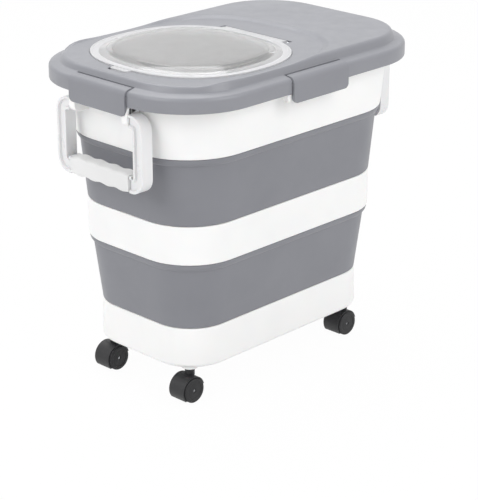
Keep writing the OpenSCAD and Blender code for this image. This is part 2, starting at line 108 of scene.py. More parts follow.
def linear(code):
    """An sRGB hex colour as linear red, green, blue and alpha."""
    channels = [int(code[i:i + 2], 16) / 255 for i in (1, 3, 5)]
    return [c / 12.92 if c <= 0.04045 else ((c + 0.055) / 1.055) ** 2.4 for c in channels] + [1.0]


def empty_tree(owner):
    """Turns on the nodes of a material or a world and takes the ready-made ones out."""
    owner.use_nodes = True
    owner.node_tree.nodes.clear()
    return owner.node_tree


def add_node(tree, kind, settings=None, links=None):
    """Adds a node. Settings give sockets or properties values, and links give sockets a (node, output)."""
    node = tree.nodes.new(kind)
    for name, value in (settings or {}).items():
        if isinstance(name, int) or name in node.inputs:
            node.inputs[name].default_value = value
        else:
            setattr(node, name, value)
    for socket, (source, output) in (links or {}).items():
        tree.links.new(source.outputs[output], node.inputs[socket])
    return node


def add_noise(tree, place, size, detail):
    """Adds a noise whose patches are about as large as size."""
    return add_node(tree, "ShaderNodeTexNoise", {"Scale": 1 / size, "Detail": detail}, {"Vector": place})


# %% [markdown]
# ### Moulded plastic and rubber
#
# Every opaque piece came out of a steel mould. The tool leaves a fine even grain, the flow of the melt
# leaves faint clouds in the colour, and handling leaves a little unevenness in the gloss. Those three
# things are the same for hard and soft plastics, so one function makes them all, and only the numbers
# differ. A real grain is about 0.1 mm, too fine for the picture, so it is drawn about ten times as coarse
# and very shallow.

# %% Moulded plastic and rubber
CLOUD_SIZE = 70 * MM
SMUDGE_SIZE = 18 * MM
# A noise seldom leaves this part of its range from 0 to 1
NOISE_LOW = 0.3
NOISE_HIGH = 0.7
# How far smudges take the roughness down and up
SMOOTHER = 0.04
ROUGHER = 0.06
GRAIN_STRENGTH = 0.5
SCATTER_DEPTH = 2 * MM


def moulded(name, colour, cloud, roughness, grain, grain_depth, ior=1.49, sheen=0.0, scatter=0.0):
    """A plastic or rubber from a mould: clouds between two colours, patchy gloss and a shallow grain."""
    material = bpy.data.materials.new(name)
    tree = empty_tree(material)
    place = (add_node(tree, "ShaderNodeTexCoord"), "Object")
    clouds = add_noise(tree, place, CLOUD_SIZE, 2.0)
    tint = add_node(tree, "ShaderNodeValToRGB", links={"Fac": (clouds, "Fac")})
    tint.color_ramp.elements[0].position = NOISE_LOW
    tint.color_ramp.elements[0].color = linear(cloud)
    tint.color_ramp.elements[1].position = NOISE_HIGH
    tint.color_ramp.elements[1].color = linear(colour)
    smudges = add_noise(tree, place, SMUDGE_SIZE, 4.0)
    gloss = add_node(tree, "ShaderNodeMapRange",
                     {"From Min": NOISE_LOW, "From Max": NOISE_HIGH,
                      "To Min": roughness - SMOOTHER, "To Max": roughness + ROUGHER},
                     {"Value": (smudges, "Fac")})
    pits = add_noise(tree, place, grain, 1.0)
    bump = add_node(tree, "ShaderNodeBump", {"Strength": GRAIN_STRENGTH, "Distance": grain_depth},
                    {"Height": (pits, "Fac")})
    shader = add_node(tree, "ShaderNodeBsdfPrincipled",
                      {"IOR": ior, "Sheen Weight": sheen, "Subsurface Weight": scatter,
                       "Subsurface Scale": SCATTER_DEPTH},
                      {"Base Color": (tint, "Color"), "Roughness": (gloss, "Result"),
                       "Normal": (bump, "Normal")})
    add_node(tree, "ShaderNodeOutputMaterial", links={"Surface": (shader, "BSDF")})
    return material


# Satin white polypropylene of the tub and the rings: clean, a little translucent, soft highlights
white_polypropylene = moulded("white_polypropylene", "#f4f4f3", "#f0f0f0", 0.38,
                              1.2 * MM, 0.02 * MM, scatter=0.05)
# The handles are the same plastic from a more polished mould
handle_polypropylene = moulded("handle_polypropylene", "#e5e5e6", "#e1e1e2", 0.30,
                               1.2 * MM, 0.015 * MM, scatter=0.05)
# Soft overmoulded grip: matt, slightly warmer than the handle
grip_elastomer = moulded("grip_elastomer", "#e4e4e4", "#dedede", 0.55, 0.9 * MM, 0.04 * MM, sheen=0.1)
# Cool grey polypropylene of the lid and the latches, from a spark-eroded mould
grey_polypropylene = moulded("grey_polypropylene", "#8c8d93", "#88898f", 0.36, 1.0 * MM, 0.03 * MM)
latch_polypropylene = moulded("latch_polypropylene", "#88898f", "#84858b", 0.38, 1.0 * MM, 0.03 * MM)
# Thermoplastic rubber of the folding walls: darker, matt, with a faint dusty sheen
grey_elastomer = moulded("grey_elastomer", "#808187", "#7c7d83", 0.55, 1.1 * MM, 0.04 * MM, sheen=0.15)
# Black nylon of the casters: satin hood, and a darker, rougher tread
black_nylon = moulded("black_nylon", "#262628", "#212123", 0.45, 0.8 * MM, 0.03 * MM)
tread_nylon = moulded("tread_nylon", "#1f1f21", "#1b1b1d", 0.55, 0.8 * MM, 0.04 * MM)
# Translucent silicone of the two seals
seal_silicone = moulded("seal_silicone", "#eceeee", "#e4e7e7", 0.5,
                        0.8 * MM, 0.02 * MM, ior=1.41, scatter=0.3)

# %% [markdown]
# ### Steel
#
# The pins, axles and caster stems are cold-drawn steel. Drawing leaves fine lines along the bar, which
# spread a highlight across it. A metal keeps the default IOR, and its colour is the colour of its
# reflections.

# %% Drawn steel
LINE_PITCH = 0.3 * MM
LINE_STRETCH = (1, 0.05, 1)
STEEL_GLOSS = {"To Min": 0.22, "To Max": 0.42}


def drawn_steel():
    """Drawn steel bar: bright, with fine lines that are stretched along it."""
    material = bpy.data.materials.new("drawn_steel")
    tree = empty_tree(material)
    place = (add_node(tree, "ShaderNodeTexCoord"), "Object")
    stretch = add_node(tree, "ShaderNodeMapping", {"Scale": LINE_STRETCH}, {"Vector": place})
    lines = add_noise(tree, (stretch, "Vector"), LINE_PITCH, 2.0)
    gloss = add_node(tree, "ShaderNodeMapRange", STEEL_GLOSS, {"Value": (lines, "Fac")})
    shader = add_node(tree, "ShaderNodeBsdfPrincipled", {"Metallic": 1.0, "Base Color": linear("#c3c5c8")},
                      {"Roughness": (gloss, "Result")})
    add_node(tree, "ShaderNodeOutputMaterial", links={"Surface": (shader, "BSDF")})
    return material


steel = drawn_steel()

# %% [markdown]
# ### Clear plastic
#
# The flip lid is one piece of clear polystyrene, polished where the dome is and frosted on the flange. Both
# use the same shader. The dome lets most light through, and the frost is a higher roughness, a milkier
# colour and less transmission, so the two finishes differ in a few numbers.

# %% Clear and frosted polystyrene
STYRENE_IOR = 1.57
SMUDGE_START = 0.4
SMUDGE_ROUGH = 0.05


def clear_plastic(name, colour, roughness, transmission):
    """Polystyrene that light passes through; its gloss is broken by a few faint smudges."""
    material = bpy.data.materials.new(name)
    tree = empty_tree(material)
    place = (add_node(tree, "ShaderNodeTexCoord"), "Object")
    smudges = add_noise(tree, place, SMUDGE_SIZE, 3.0)
    gloss = add_node(tree, "ShaderNodeMapRange",
                     {"From Min": SMUDGE_START, "From Max": NOISE_HIGH,
                      "To Min": roughness, "To Max": roughness + SMUDGE_ROUGH},
                     {"Value": (smudges, "Fac")})
    shader = add_node(tree, "ShaderNodeBsdfPrincipled",
                      {"Base Color": linear(colour), "IOR": STYRENE_IOR,
                       "Transmission Weight": transmission},
                      {"Roughness": (gloss, "Result")})
    add_node(tree, "ShaderNodeOutputMaterial", links={"Surface": (shader, "BSDF")})
    return material


clear_polystyrene = clear_plastic("clear_polystyrene", "#f6f6f6", 0.08, 0.88)
frosted_polystyrene = clear_plastic("frosted_polystyrene", "#e6e6e8", 0.42, 0.40)

# %% [markdown]
# ## Helpers for shapes
#
# All shapes are modelled in millimetres and become metres at the very end. A wall that goes round the bin
# is a profile of radius and height, carried along four straight runs and round four corners: extrude makes
# the runs and spin makes the corners, just as a moulder thinks of it.

# %% Helpers for walls
# Corner centres of the rings' plan and of the larger plan of the lid and the rim
CORNER_X = 110.0
CORNER_Y = 40.5
LID_X = 121.0
LID_Y = 51.5
CORNER_STEPS = 12
SAME_PLACE = 0.001


def box_mm(node):
    """Lowest and highest corner of a CAD node, in millimetres."""
    low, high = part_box(node)
    return low / MM, high / MM


def arc(across, up, radius, start, end, steps):
    """Points of a profile along an arc, between two angles in degrees."""
    angles = [math.radians(start + (end - start) * i / steps) for i in range(steps + 1)]
    return [(across + radius * math.cos(a), up + radius * math.sin(a)) for a in angles]


def extrude(bm, edges, run=(0, 0, 0)):
    """Extrudes a chain of edges along a run, and gives back its new vertices and edges."""
    made = bmesh.ops.extrude_edge_only(bm, edges=edges)["geom"]
    verts = {g for g in made if isinstance(g, BMVert)}
    bmesh.ops.translate(bm, verts=list(verts), vec=run)
    return verts, [g for g in made if isinstance(g, BMEdge) and verts.issuperset(g.verts)]


def bend(bm, edges, centre, axis, angle, steps):
    """Carries a chain of edges round a centre, and gives back the edges that it ends on."""
    made = bmesh.ops.spin(bm, geom=edges, cent=centre, axis=axis, angle=angle, steps=steps)
    return [g for g in made["geom_last"] if isinstance(g, BMEdge)]


def sweep(profile, half_x, half_y, closed, runs=(1, 1)):
    """Carries a profile of (radius, height) round a rounded rectangle; runs says how fine its sides are."""
    bm = bmesh.new()
    column = [bm.verts.new((half_x + r, -half_y, z)) for r, z in profile]
    following = column[1:] + column[:1] if closed else column[1:]
    edges = [bm.edges.new(pair) for pair in zip(column, following)]
    along_x, along_y = Vector((2 * half_x, 0, 0)), Vector((0, 2 * half_y, 0))
    for x, y, run, steps in ((1, 1, along_y, runs[1]), (-1, 1, -along_x, runs[0]),
                             (-1, -1, -along_y, runs[1]), (1, -1, along_x, runs[0])):
        for _ in range(steps):
            edges = extrude(bm, edges, run / steps)[1]
        edges = bend(bm, edges, (x * half_x, y * half_y, 0), (0, 0, 1), math.pi / 2, CORNER_STEPS)
    bmesh.ops.remove_doubles(bm, verts=bm.verts, dist=SAME_PLACE)
    return bm


def open_loop(bm, height):
    """The edges of an open border that lies at one height."""
    return [e for e in bm.edges if e.is_boundary and all(abs(v.co.z - height) < 0.01 for v in e.verts)]


def pull(bm, edges, move):
    """Extrudes a loop of edges and sends each new vertex where move says."""
    verts, loop = extrude(bm, edges)
    for vert in verts:
        vert.co = move(vert.co)
    return loop


# %% [markdown]
# Smaller features are boxes, round bars and slabs. A Boolean modifier joins two solids or cuts one with the
# other. It is applied at once, so that the next step works on plain geometry.

# %% Helpers for solids
# Y and Z as indices into a vector
DEPTH_AXIS = 1
HEIGHT_AXIS = 2
BAR_SIDES = 32


def add_box(bm, low, high):
    """Adds a box that fits its two corners exactly, so that no sliver is left beside a face it lies on."""
    for vert in bmesh.ops.create_cube(bm, size=1)["verts"]:
        vert.co = [b if side > 0 else a for a, b, side in zip(low, high, vert.co)]


def box(low, high):
    """A new bmesh that holds one box, to cut or join with."""
    bm = bmesh.new()
    add_box(bm, low, high)
    return bm


def add_bar(bm, radius, start, end):
    """Adds a round bar between two points."""
    axis = Vector(end) - Vector(start)
    turn = axis.to_track_quat("Z", "Y").to_matrix().to_4x4()
    place = Matrix.Translation((Vector(start) + Vector(end)) / 2) @ turn
    bmesh.ops.create_cone(bm, cap_ends=True, segments=BAR_SIDES, radius1=radius, radius2=radius,
                          depth=axis.length, matrix=place)


def bar(radius, start, end):
    """A new bmesh that holds one round bar, to join with."""
    bm = bmesh.new()
    add_bar(bm, radius, start, end)
    return bm


def add_slab(bm, outline, run):
    """Adds a solid by extruding a flat outline of points along a run, and gives back its vertices."""
    face = bm.faces.new([bm.verts.new(point) for point in outline])
    made = bmesh.ops.extrude_face_region(bm, geom=[face])["geom"]
    verts = [g for g in made if isinstance(g, BMVert)]
    bmesh.ops.translate(bm, verts=verts, vec=run)
    return verts + list(face.verts)


def span(edge, axis):
    """How far an edge reaches along an axis."""
    return abs(edge.verts[0].co[axis] - edge.verts[1].co[axis])


def round_edges(bm, edges, radius, segments):
    """Rounds some edges of a solid."""
    bmesh.ops.bevel(bm, geom=edges, offset=radius, segments=segments, profile=0.5, affect="EDGES",
                    material=-1)


def combine(bm, tool, operation):
    """Cuts bm with the tool, or joins them, and gives the result as a new bmesh."""
    pair = []
    for shape in (bm, tool):
        bmesh.ops.recalc_face_normals(shape, faces=shape.faces)
        mesh = bpy.data.meshes.new("working")
        shape.to_mesh(mesh)
        shape.free()
        pair.append(add_object("working", mesh))
    modifier = pair[0].modifiers.new("combine", "BOOLEAN")
    modifier.operation = operation
    modifier.object = pair[1]
    modifier.solver = "EXACT"
    result = bmesh.new()
    result.from_object(pair[0], bpy.context.evaluated_depsgraph_get())
    for obj in pair:
        bpy.data.meshes.remove(obj.data)
    bmesh.ops.remove_doubles(result, verts=result.verts, dist=SAME_PLACE / 2)
    return result


# %% [markdown]
# The last helper turns a finished shape into a piece: metres, a mesh, its finish, smooth shading with sharp
# edges kept, rounded edges where a mould would have them, and a body to ride on.

# %% Finishing a piece
SHARP = math.radians(32)


def finish_piece(name, bm, material, body=None, replaces=(), rounding=0.0, segments=3):
    """Makes an object of a bmesh in millimetres, which stands for the CAD nodes that it replaces."""
    bmesh.ops.recalc_face_normals(bm, faces=bm.faces)
    bmesh.ops.scale(bm, verts=bm.verts, vec=(MM, MM, MM))
    mesh = bpy.data.meshes.new(name)
    bm.to_mesh(mesh)
    bm.free()
    mesh.materials.append(material)
    mesh.shade_smooth()
    mesh.set_sharp_from_angle(angle=SHARP)
    piece = add_object(name, mesh)
    if rounding:
        bevel = piece.modifiers.new("rounding", "BEVEL")
        bevel.width = rounding * MM
        bevel.segments = segments
        bevel.limit_method = "ANGLE"
        bevel.angle_limit = SHARP
        bevel.harden_normals = True
    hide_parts(*replaces)
    if body:
        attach(piece, body)
    print(name, len(mesh.polygons), "faces")
    return piece


# %% [markdown]
# ## The base tub
#
# The tub is the deepest white part, with a rounded edge underneath and walls that narrow a little on their
# way up. Four bosses below the floor take the caster stems. The wall is swept open and the two floors are
# then filled in.

# %% Base tub
BASE_FLOOR = 45.0
BASE_DRAFT = 1.6
WALL = 2.5
FILLET = 6.0
BOSS_R = 10.0
BOSS_TOP = 61.0
STEM_X = 139.5
STEM_Y = 67.0
CASTERS = ((-1, -1), (1, -1), (-1, 1), (1, 1))

base_low, base_high = box_mm("base_tub")
base_r = base_high.x - CORNER_X


def base_tub():
    """Tub with a filled floor and four bosses."""
    profile = arc(base_r - FILLET, BASE_FLOOR + FILLET, FILLET, -90, 0, 6)
    profile += [(base_r - BASE_DRAFT, base_high.z), (base_r - BASE_DRAFT - WALL, base_high.z)]
    profile += arc(base_r - FILLET, BASE_FLOOR + FILLET, FILLET - WALL, 0, -90, 5)
    bm = sweep(profile, CORNER_X, CORNER_Y, closed=False)
    for floor in (BASE_FLOOR, BASE_FLOOR + WALL):
        bmesh.ops.contextual_create(bm, geom=open_loop(bm, floor))
    for x, y in CASTERS:
        add_bar(bm, BOSS_R, (x * STEM_X, y * STEM_Y, base_low.z), (x * STEM_X, y * STEM_Y, BOSS_TOP))
    return bm


finish_piece("base_tub_shell", base_tub(), white_polypropylene, "base", ["base_tub"],
             rounding=0.7)

# %% [markdown]
# ## The two rings
#
# The middle ring is a plain band. The top ring widens towards its rim, where a flange stands out under the
# lid. The flange follows the lid's larger plan, so wall and flange are two sweeps, and bridging their open
# borders joins them into one solid.

# %% Middle ring
mid_low, mid_high = box_mm("mid_ring")
mid_r = mid_high.x - CORNER_X


def mid_ring():
    """A band with a square section, whose edges are rounded at the end."""
    inside = mid_r - WALL
    section = [(inside, mid_low.z), (mid_r, mid_low.z), (mid_r, mid_high.z), (inside, mid_high.z)]
    return sweep(section, CORNER_X, CORNER_Y, closed=True)


finish_piece("mid_ring_band", mid_ring(), white_polypropylene, "middle", ["mid_ring"],
             rounding=0.8)

# %% Top ring, its sizes
TOP_R = 80.0
TOP_FLARE = 7.0
RIM_OUT = 89.5
RIM_T = 3.0
RIM_LIP = 6.0
CATCH_FACE = 91.5
CATCH_HALF = 53.0
CATCH_DROP = 20.0
CATCH_GAP = 0.6
# Radii of the ribs' inner edge, at the flange and at its foot
RIB_TOP = 75.0
RIB_FOOT = 73.0
RIB_RISE = 6.0
RIB_BITE = 0.5
LUG_OUT = 49.5
LUG_T = 10.0
LUG_ROUND = 8.5
# The lugs reach this far into the wall and the rim's lip
LUG_BITE = 1
LUG_SHOULDER = 8
PIVOT_DROP = 27.0
PIVOT_OUT = 12.5
# For each side, its turn from the right side in degrees, and its lid plan's corner centre
SIDES = {"right": (0, LID_X), "back": (90, LID_Y), "left": (180, LID_X), "front": (270, LID_Y)}

top_low, top_high = box_mm("top_ring")
lid_low, lid_high = box_mm("lid")
rim = top_high.z
skirt = lid_low.z
pivot_z = rim - PIVOT_DROP


def top_wall(height):
    """Radius of the top ring's outer face at a height."""
    return TOP_R + TOP_FLARE * (height - top_low.z) / (rim - top_low.z)


pivot_x = CORNER_X + top_wall(pivot_z) + PIVOT_OUT

# %% [markdown]
# Behind each latch the rim has a stiff plate with ribs, and at each short side two lugs hold the handle.
# Everything on a side is made for the right side and then turned, so that each shape is written once.

# %% Top ring


def turned(bm, side, verts=None):
    """Turns a shape that was made for the right side to another side of the bin."""
    spin = Matrix.Rotation(math.radians(SIDES[side][0]), 3, "Z")
    bmesh.ops.rotate(bm, verts=verts or bm.verts, cent=(0, 0, 0), matrix=spin)


def add_catch(bm, side, half):
    """The rim's stiff plate behind a latch, with a step that comes out under the skirt, and four ribs."""
    out = SIDES[side][1]
    under = skirt - CATCH_GAP
    lip_in = RIM_OUT - WALL
    top, foot = rim - RIM_T, rim - CATCH_DROP
    outline = [(lip_in, top), (lip_in, foot), (CATCH_FACE, foot), (CATCH_FACE, under), (RIM_OUT, under),
               (RIM_OUT, top)]
    made = add_slab(bm, [(out + r, -half, z) for r, z in outline], (0, 2 * half, 0))
    rib = [(RIB_TOP, top), (RIB_FOOT, foot + RIB_RISE), (lip_in + RIB_BITE, foot), (lip_in + RIB_BITE, top)]
    for y in (-half, -half / 3 - WALL / 2, half / 3 - WALL / 2, half - WALL):
        made += add_slab(bm, [(out + r, y, z) for r, z in rib], (0, WALL, 0))
    turned(bm, side, made)


def add_lugs(bm, side):
    """Two ears on a short side, which hold the handle's pivot pins."""
    foot = CORNER_X + top_wall(pivot_z - LUG_ROUND) - LUG_BITE
    lip = LID_X + RIM_OUT - LUG_BITE
    outline = [(foot, pivot_z - LUG_ROUND)] + arc(pivot_x, pivot_z, LUG_ROUND, -90, 0, 8)
    outline += [(pivot_x + LUG_ROUND, pivot_z + LUG_ROUND), (lip, rim - RIM_LIP), (lip, rim - RIM_T),
                (foot + LUG_SHOULDER, rim - RIM_T)]
    for low in (-LUG_OUT, LUG_OUT - LUG_T):
        turned(bm, side, add_slab(bm, [(x, low, z) for x, z in outline], (0, LUG_T, 0)))


def top_ring():
    """Flared wall, rim flange with its lip, catches and lugs."""
    wall = sweep([(top_wall(rim) - WALL, rim), (TOP_R - WALL, top_low.z), (TOP_R, top_low.z),
                  (top_wall(rim - RIM_T), rim - RIM_T)], CORNER_X, CORNER_Y, closed=False)
    lip_foot = rim - RIM_T - RIM_LIP
    lip = [(RIM_OUT - WALL, rim - RIM_T), (RIM_OUT - WALL, lip_foot), (RIM_OUT, lip_foot), (RIM_OUT, rim)]
    flange = sweep(lip, LID_X, LID_Y, closed=False)
    mesh = bpy.data.meshes.new("working")
    flange.to_mesh(mesh)
    flange.free()
    wall.from_mesh(mesh)
    bpy.data.meshes.remove(mesh)
    for height in (rim, rim - RIM_T):
        bmesh.ops.bridge_loops(wall, edges=open_loop(wall, height))
    for side in SIDES:
        short = side in ("left", "right")
        add_catch(wall, side, LUG_OUT if short else CATCH_HALF)
        if short:
            add_lugs(wall, side)
    return wall


finish_piece("top_ring_shell", top_ring(), white_polypropylene, "top", ["top_ring"],
             rounding=0.8)

# %% [markdown]
# ## The folding walls
#
# Each soft wall is moulded onto the ring below it and the ring above it. It leaves the lower ring flush,
# leans outwards, and ends under the upper ring in a rounded bead, so that it can roll inside out when the
# bin is pushed down.

# %% Folding walls
FOLD_T = 1.8
FOLD_GAP = 0.6
BANDS = 14
BEAD_IN = 5.5
BEAD_H = 9.0
BEAD_EDGE = 0.8
# How many degrees the bead's curve turns through
BEAD_TURN = 70
BEAD_STEPS = 6
NECK_ROOM = 2


def fold_wall(r_low, z_low, r_high, z_high):
    """A soft wall in section: up the outside, round the bead, and down the inside."""
    neck = r_high - BEAD_IN
    edge = r_high - BEAD_EDGE
    crease = z_high - BEAD_H
    outside = [(r_low + (neck - r_low) * i / BANDS, z_low + (crease - z_low) * i / BANDS)
               for i in range(BANDS + 1)]
    full_in = 1 - math.cos(math.radians(BEAD_TURN))
    full_up = math.sin(math.radians(BEAD_TURN))
    for i in range(1, BEAD_STEPS + 1):
        left = math.radians(BEAD_TURN - BEAD_TURN * i / BEAD_STEPS)
        outside.append((edge - (edge - neck) * (1 - math.cos(left)) / full_in,
                        z_high - BEAD_H * math.sin(left) / full_up))
    inside = [(min(r, neck + NECK_ROOM) - FOLD_T, z) for r, z in reversed(outside)]
    return sweep(outside + inside, CORNER_X, CORNER_Y, closed=True)


lower_shape = fold_wall(base_r - BASE_DRAFT, base_high.z + FOLD_GAP, mid_r, mid_low.z - FOLD_GAP)
lower_wall = finish_piece("lower_fold_wall", lower_shape, grey_elastomer,
                          replaces=["lower_membrane"], rounding=0.5, segments=2)
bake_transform(lower_wall)
upper_shape = fold_wall(mid_r, mid_high.z + FOLD_GAP, TOP_R, top_low.z - FOLD_GAP)
upper_wall = finish_piece("upper_fold_wall", upper_shape, grey_elastomer,
                          replaces=["upper_membrane"], rounding=0.5, segments=2)
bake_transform(upper_wall)

# %% [markdown]
# ## The lid
#
# The lid is the piece that people look at most. Its rim steps down from the deck over a soft slope and a
# ledge to a rounded shoulder and a skirt. The deck is dished round the flip lid and rises in a soft slope
# to a panel at the other end. The rim is one open sweep. From its inner border the deck is pulled inwards,
# band by band, along rays to the flip lid's outline, and the panel's height is then given to every vertex by
# a formula.

# %% Lid, its sizes
LID_R = 93.0
LID_WALL = 2.5
DECK_R = 72.0
LEDGE_R = 80.5
LEDGE_Z = rim + 9
DECK = rim + 16.5
SHOULDER_R = 5.0
EDGE_R = 0.8
LEDGE_FILLET = 2.4
DECK_ROUND = 6
SKIN_TURN = 3
SEAL_IN = 73.5
SEAL_OUT = 77.5
GROOVE = rim + 8
GROOVE_WALL = 1.5
UNDER = rim + 2.5
# The flip lid's outline: half its length and width, how square its corners are, and where its middle is
FLIP_X = 108.5
FLIP_Y = 115.5
FLIP_POWER = 2.4
FLIP_SHIFT = 67.5
SEAT = DECK - 2.3
SEAT_W = 14
WELL = DECK - 5.5
FLIP_GAP = 0.6
WELL_WALL = 3.1
# The dished surround: half its length and width, and how square its corners are
DISH = (157.0, 127.0, 3.0)
DISH_SLOPE = 7.0
PANEL_RISE = lid_high.z - DECK
BANDS_OF_DECK = 61

# %% Lid, shell and deck


def flip_outline(inset, height):
    """Moves points along their rays from the flip lid's middle onto its outline, drawn in by inset."""
    def move(point):
        x, y = point.x + FLIP_SHIFT, point.y
        across = abs(x / (FLIP_X - inset)) ** FLIP_POWER + abs(y / (FLIP_Y - inset)) ** FLIP_POWER
        reach = across ** (1 / FLIP_POWER)
        return Vector((x / reach - FLIP_SHIFT, y / reach, height))
    return move


def smooth(share):
    """0 below 0, 1 above 1, and a soft S between them."""
    t = min(max(share, 0.0), 1.0)
    return t * t * (3 - 2 * t)


def panel_height(point):
    """How far the deck is raised at a point: nothing in the dished surround, all of it on the panel."""
    half_x, half_y, power = DISH
    x, y = abs(point.x + FLIP_SHIFT), abs(point.y)
    reach = ((x / half_x) ** power + (y / half_y) ** power) ** (1 / power)
    outside = math.hypot(x, y) * (1 - 1 / max(reach, 0.001))
    on_deck = smooth((point.z - LEDGE_Z) / (DECK - LEDGE_Z))
    return PANEL_RISE * smooth(outside / DISH_SLOPE + 0.5) * on_deck


def lid_shell():
    """The rim, the deck with its raised panel, and the well that the flip lid lies in."""
    skin = LID_R - LID_WALL
    under = [(DECK_R, DECK - LID_WALL), (DECK_R, UNDER), (SEAL_IN, UNDER), (SEAL_IN, GROOVE),
             (SEAL_OUT, GROOVE), (SEAL_OUT, UNDER), (SEAL_OUT + GROOVE_WALL, UNDER),
             (SEAL_OUT + GROOVE_WALL, GROOVE - GROOVE_WALL), (skin - SKIN_TURN, rim + 4.5),
             (skin, rim + 1.5), (skin, skirt)]
    outside = [(LID_R - EDGE_R, skirt)] + arc(LID_R - EDGE_R, skirt + EDGE_R, EDGE_R, -60, 0, 2)
    outside += arc(LID_R - SHOULDER_R, UNDER, SHOULDER_R, 0, 75, 8)
    outside += arc(LEDGE_R + 0.5, LEDGE_Z + LEDGE_FILLET, LEDGE_FILLET, -100, -150, 4)
    outside += arc(DECK_R, DECK - DECK_ROUND, DECK_ROUND, 30, 90, 8)
    bm = sweep(under + outside, LID_X, LID_Y, closed=False, runs=(20, 10))
    loop = open_loop(bm, DECK)
    place = flip_outline(-FLIP_GAP, DECK)
    for left in range(BANDS_OF_DECK, 0, -1):
        loop = pull(bm, loop, lambda point: point.lerp(place(point), 1 / left))
    for inset, height in ((-FLIP_GAP, SEAT), (SEAT_W, SEAT), (SEAT_W, WELL), (-WELL_WALL, WELL),
                          (-WELL_WALL, DECK - LID_WALL)):
        loop = pull(bm, loop, flip_outline(inset, height))
    bmesh.ops.bridge_loops(bm, edges=open_loop(bm, DECK - LID_WALL))
    for vert in bm.verts:
        if vert.co.z > LEDGE_Z:
            vert.co.z += panel_height(vert.co)
    return bm


# %% [markdown]
# The lid's other features are cut into the shell or joined to it: a notch in the skirt for each latch with
# an ear at both ends, the trough that the flip lid's hinge turns in, and the pocket round its finger tab.

# %% Lid, sizes of the notches, the trough and the pocket
LATCH_AXIS_R = 86.0
LATCH_AXIS_Z = rim + 3.8
NOTCH_IN = 79.6
NOTCH_HALF = 47.6
EAR_T = 4.0
EAR_IN = NOTCH_IN - 0.5
EAR_LOW = rim + 0.6
HINGE_X = 44.0
HINGE_Z = DECK - 2.2
HINGE_R = 3.0
HINGE_HALF = 50.5
TROUGH_IN = HINGE_X - HINGE_R - 2.5
TROUGH_OUT = HINGE_X + HINGE_R + 1.2
TROUGH_HALF = 57.0
TROUGH_Z = HINGE_Z - 4.2
TROUGH_WALL = ((HINGE_X - 8, -TROUGH_HALF - 6), (HINGE_X + 7, TROUGH_HALF + 6))
STRIP_IN = 12.6
STRIP_GAP = 0.6
TAB_X = 183.5
TAB_HALF = 14.0
POCKET_GAP = 3.5
POCKET_OUT = -TAB_X - POCKET_GAP
POCKET_IN = -TAB_X + 17.5
POCKET_HALF = TAB_HALF + 1.6
POCKET_WALL = ((POCKET_OUT - WALL, -TAB_HALF - 4), (-TAB_X + 16, TAB_HALF + 4))
POCKET_FLOOR = SEAT - 0.9
POCKET_R = 4.5
BELOW_DECK = DECK - 0.4
ABOVE = lid_high.z + 20

# %% Lid, notches, trough and pocket


def lid():
    """The lid with everything that is cut into it."""
    trough_wall = box((*TROUGH_WALL[0], TROUGH_Z - WALL), (*TROUGH_WALL[1], BELOW_DECK))
    pocket_wall = box((*POCKET_WALL[0], WELL), (*POCKET_WALL[1], BELOW_DECK))
    trough = box((TROUGH_IN, -TROUGH_HALF, TROUGH_Z), (TROUGH_OUT, TROUGH_HALF, ABOVE))
    strip = box((HINGE_X - STRIP_IN, -HINGE_HALF - STRIP_GAP, SEAT),
                (HINGE_X - STRIP_GAP, HINGE_HALF + STRIP_GAP, ABOVE))
    pocket = box((POCKET_OUT, -POCKET_HALF, POCKET_FLOOR), (POCKET_IN, POCKET_HALF, ABOVE))
    corners = [e for e in pocket.edges if span(e, HEIGHT_AXIS) > 1 and e.verts[0].co.x < -TAB_X]
    round_edges(pocket, corners, POCKET_R, 6)
    bm = lid_shell()
    for solid in (trough_wall, pocket_wall):
        bm = combine(bm, solid, "UNION")
    for space in (trough, strip, pocket):
        bm = combine(bm, space, "DIFFERENCE")
    ear = [(EAR_IN, EAR_LOW), (LATCH_AXIS_R + 3.2, EAR_LOW), (LATCH_AXIS_R + 3.7, rim + 6), (EAR_IN, rim + 8)]
    for side, (_, out) in SIDES.items():
        notch = box((out + NOTCH_IN, -NOTCH_HALF, skirt - 1), (out + LID_R + 20, NOTCH_HALF, ABOVE))
        turned(notch, side)
        bm = combine(bm, notch, "DIFFERENCE")
        ears = bmesh.new()
        for y in (-NOTCH_HALF - EAR_T, NOTCH_HALF):
            add_slab(ears, [(out + r, y, z) for r, z in ear], (0, EAR_T, 0))
        turned(ears, side)
        bm = combine(bm, ears, "UNION")
    return bm


finish_piece("lid_shell", lid(), grey_polypropylene, "lid", ["lid"])

# %% [markdown]
# ## The clear flip lid
#
# The flip lid is a flat flange with a low dome, a straight hinge strip at one side and a tab for the finger
# at the other. A circle is placed on the outline by the same rays as the well in the lid, and pulled from
# station to station: under the flange, up its edge and over a small lip, in to the foot of the dome, up its
# broad slope and over the crown. A second pull from the same circle makes the inner skin, which starts
# further in and rises more steeply. The strip and the tab are then joined on.

# %% Flip lid, its sizes
FLANGE_Z = DECK - 2
FLANGE_T = 2.8
FLANGE_W = 17.0
LIP_W = 2.8
LIP_H = 0.5
LIP_SLOPE = 0.7
FOOT_W = 9.5
FOOT_H = 0.5
SLOPE_W = 26.0
SLOPE_STEPS = 10
DOME_RISE = 6.7
DOME_WALL = 2.0
# The bow of the inner skin: where it starts, how wide and high it is, and how far below the crown it ends
BOW_IN = 4.5
BOW_W = 14
BOW_H = 3.4
BOW_DROP = 0.6
# Stations on the crown: how far in from the foot, and how far below the top
CROWN = ((36, 0.25), (60, 0.05), (84, 0))
STRIP_W = 12
TAB_W = 14
TAB_ROUND = 3.5
TAB_INSET = 0.01
flange_top = FLANGE_Z + FLANGE_T

# %% Flip lid


